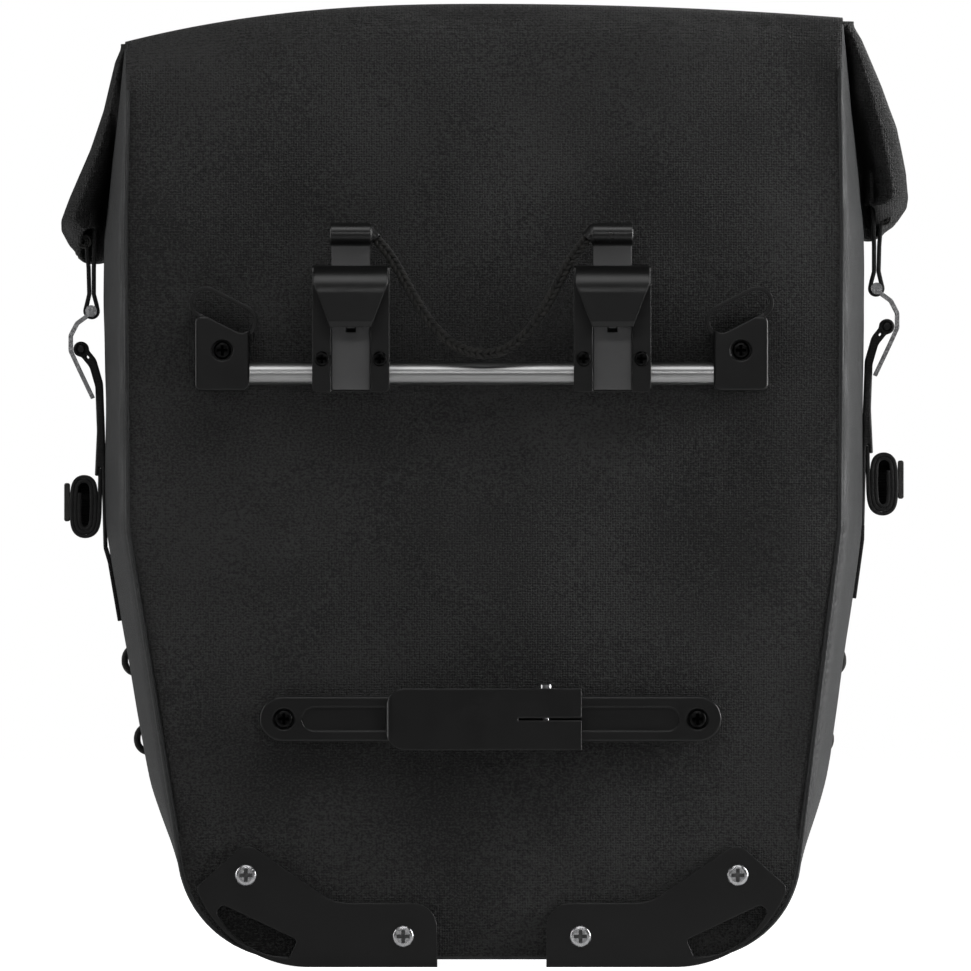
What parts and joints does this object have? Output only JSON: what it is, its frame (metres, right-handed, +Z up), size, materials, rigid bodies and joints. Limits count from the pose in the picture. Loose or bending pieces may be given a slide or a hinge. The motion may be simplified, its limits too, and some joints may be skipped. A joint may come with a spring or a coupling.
{
  "type": "pannier bag",
  "caption": "Roll-top bicycle pannier with rail-mounted rack hooks, sprung latches and a cord release, a sliding lower hook, corner guards and clipped side straps.",
  "frame": {"origin": "centre of the bag's footprint, on the surface that it stands on", "axes": "+Z up, -Y out of the rack side, +X to the right for someone who looks at the rack side"},
  "size_m": [0.376, 0.1978, 0.422],
  "materials": {
    "shell_fabric": "coated woven fabric, matt",
    "gusset_fabric": "smooth coated fabric, satin",
    "webbing": "woven webbing",
    "grey_elastic": "woven elastic",
    "cord": "braided cord",
    "black_plastic": "moulded, fine satin texture",
    "grey_plastic": "moulded, satin",
    "inner_board": "smooth sheet",
    "rail_aluminium": "brushed lengthways, clear anodised",
    "bright_steel": "zinc plated",
    "black_steel": "black oxide"
  },
  "bodies": {
    "root": {"back_panel": "shell_fabric", "front_panel": "shell_fabric", "side_gusset": "gusset_fabric", "stiffener_plate": "inner_board", "roll_closure": "shell_fabric", "roll_stiffener": "inner_board", "bracket_screws": "black_steel", "lower_rail_screws": "black_steel", "guard_screws": "bright_steel", "inner_nuts": "bright_steel", "upper_rail": "rail_aluminium", "rail_bracket_left": "black_plastic", "rail_bracket_right": "black_plastic", "lower_rail": "black_plastic", "corner_guard_left": "black_plastic", "corner_guard_right": "black_plastic", "strap_patch_left": "webbing", "strap_patch_right": "webbing", "bungee_cord": "cord", "bungee_tabs": "webbing", "cord_lock": "black_plastic"},
    "hook_left": {"hook_body_left": "black_plastic", "hook_clamp_left": "black_plastic", "clamp_screws_left": "black_steel", "pawl_pin_left": "bright_steel", "latch_spring_left": "bright_steel"},
    "latch_left": {"latch_slide_left": "grey_plastic", "release_cord": "cord"},
    "pawl_left": {"latch_pawl_left": "grey_plastic"},
    "hook_right": {"hook_body_right": "black_plastic", "hook_clamp_right": "black_plastic", "clamp_screws_right": "black_steel", "pawl_pin_right": "bright_steel", "latch_spring_right": "bright_steel"},
    "latch_right": {"latch_slide_right": "grey_plastic"},
    "pawl_right": {"latch_pawl_right": "grey_plastic"},
    "lower_hook": {"lower_hook": "black_plastic", "pinch_screw": "bright_steel", "pinch_nut": "bright_steel"},
    "ear_left": {"ear_left": "shell_fabric", "ear_webbing_left": "webbing"},
    "clip_left": {"clip_hook_left": "bright_steel"},
    "strap_left": {"side_strap_left": "webbing", "strap_bar_left": "black_plastic", "strap_tail_left": "webbing", "tail_keeper_left": "grey_elastic"},
    "ear_right": {"ear_right": "shell_fabric", "ear_webbing_right": "webbing"},
    "clip_right": {"clip_hook_right": "bright_steel"},
    "strap_right": {"side_strap_right": "webbing", "strap_bar_right": "black_plastic", "strap_tail_right": "webbing", "tail_keeper_right": "grey_elastic"}
  },
  "joints": [
    {"name": "hook_left_slide", "type": "slide", "parent": "root", "child": "hook_left", "axis": [1, 0, 0], "range_m": [-0.022, 0.022]},
    {"name": "latch_left_slide", "type": "slide", "parent": "hook_left", "child": "latch_left", "axis": [0, 0, 1], "range_m": [0, 0.005], "stiffness_N_per_m": 500, "springref_m": -0.008, "deforming": ["latch_spring_left"]},
    {"name": "pawl_left_turn", "type": "hinge", "parent": "hook_left", "child": "pawl_left", "pos_m": [-0.0585, -0.0767, 0.2842], "axis": [1, 0, 0], "range_deg": [0, 84.5]},
    {"name": "hook_right_slide", "type": "slide", "parent": "root", "child": "hook_right", "axis": [1, 0, 0], "range_m": [-0.022, 0.022]},
    {"name": "latch_right_slide", "type": "slide", "parent": "hook_right", "child": "latch_right", "axis": [0, 0, 1], "range_m": [0, 0.005], "stiffness_N_per_m": 500, "springref_m": -0.008, "deforming": ["latch_spring_right"]},
    {"name": "pawl_right_turn", "type": "hinge", "parent": "hook_right", "child": "pawl_right", "pos_m": [0.0565, -0.0767, 0.2842], "axis": [1, 0, 0], "range_deg": [0, 84.5]},
    {"name": "lower_hook_slide", "type": "slide", "parent": "root", "child": "lower_hook", "axis": [1, 0, 0], "range_m": [-0.095, 0.045]},
    {"name": "ear_left_fold", "type": "hinge", "parent": "root", "child": "ear_left", "pos_m": [-0.16, 0.0066, 0.4], "axis": [0, 1, 0], "range_deg": [0, 75]},
    {"name": "clip_left_swing", "type": "hinge", "parent": "ear_left", "child": "clip_left", "pos_m": [-0.1736, 0.0066, 0.289], "axis": [0, 1, 0], "range_deg": [-75.5, 0]},
    {"name": "strap_left_swing", "type": "hinge", "parent": "root", "child": "strap_left", "pos_m": [-0.1674, 0.0066, 0.184], "axis": [0, 1, 0], "range_deg": [-60.5, 0]},
    {"name": "ear_right_fold", "type": "hinge", "parent": "root", "child": "ear_right", "pos_m": [0.16, 0.0066, 0.41], "axis": [0, -1, 0], "range_deg": [0, 75]},
    {"name": "clip_right_swing", "type": "hinge", "parent": "ear_right", "child": "clip_right", "pos_m": [0.1736, 0.0066, 0.299], "axis": [0, -1, 0], "range_deg": [-75.5, 0]},
    {"name": "strap_right_swing", "type": "hinge", "parent": "root", "child": "strap_right", "pos_m": [0.1674, 0.0066, 0.194], "axis": [0, -1, 0], "range_deg": [-60.5, 0]}
  ],
  "couplings": [
    {"joint": "hook_right_slide", "follows": "hook_left_slide", "ratio": 1},
    {"joint": "latch_right_slide", "follows": "latch_left_slide", "ratio": 1},
    {"joint": "pawl_left_turn", "follows": "latch_left_slide", "rad_per_m": 293.22},
    {"joint": "pawl_right_turn", "follows": "latch_left_slide", "rad_per_m": 293.22},
    {"joint": "clip_left_swing", "follows": "ear_left_fold", "ratio": -1},
    {"joint": "strap_left_swing", "follows": "ear_left_fold", "ratio": -0.8},
    {"joint": "clip_right_swing", "follows": "ear_right_fold", "ratio": -1},
    {"joint": "strap_right_swing", "follows": "ear_right_fold", "ratio": -0.8}
  ]
}
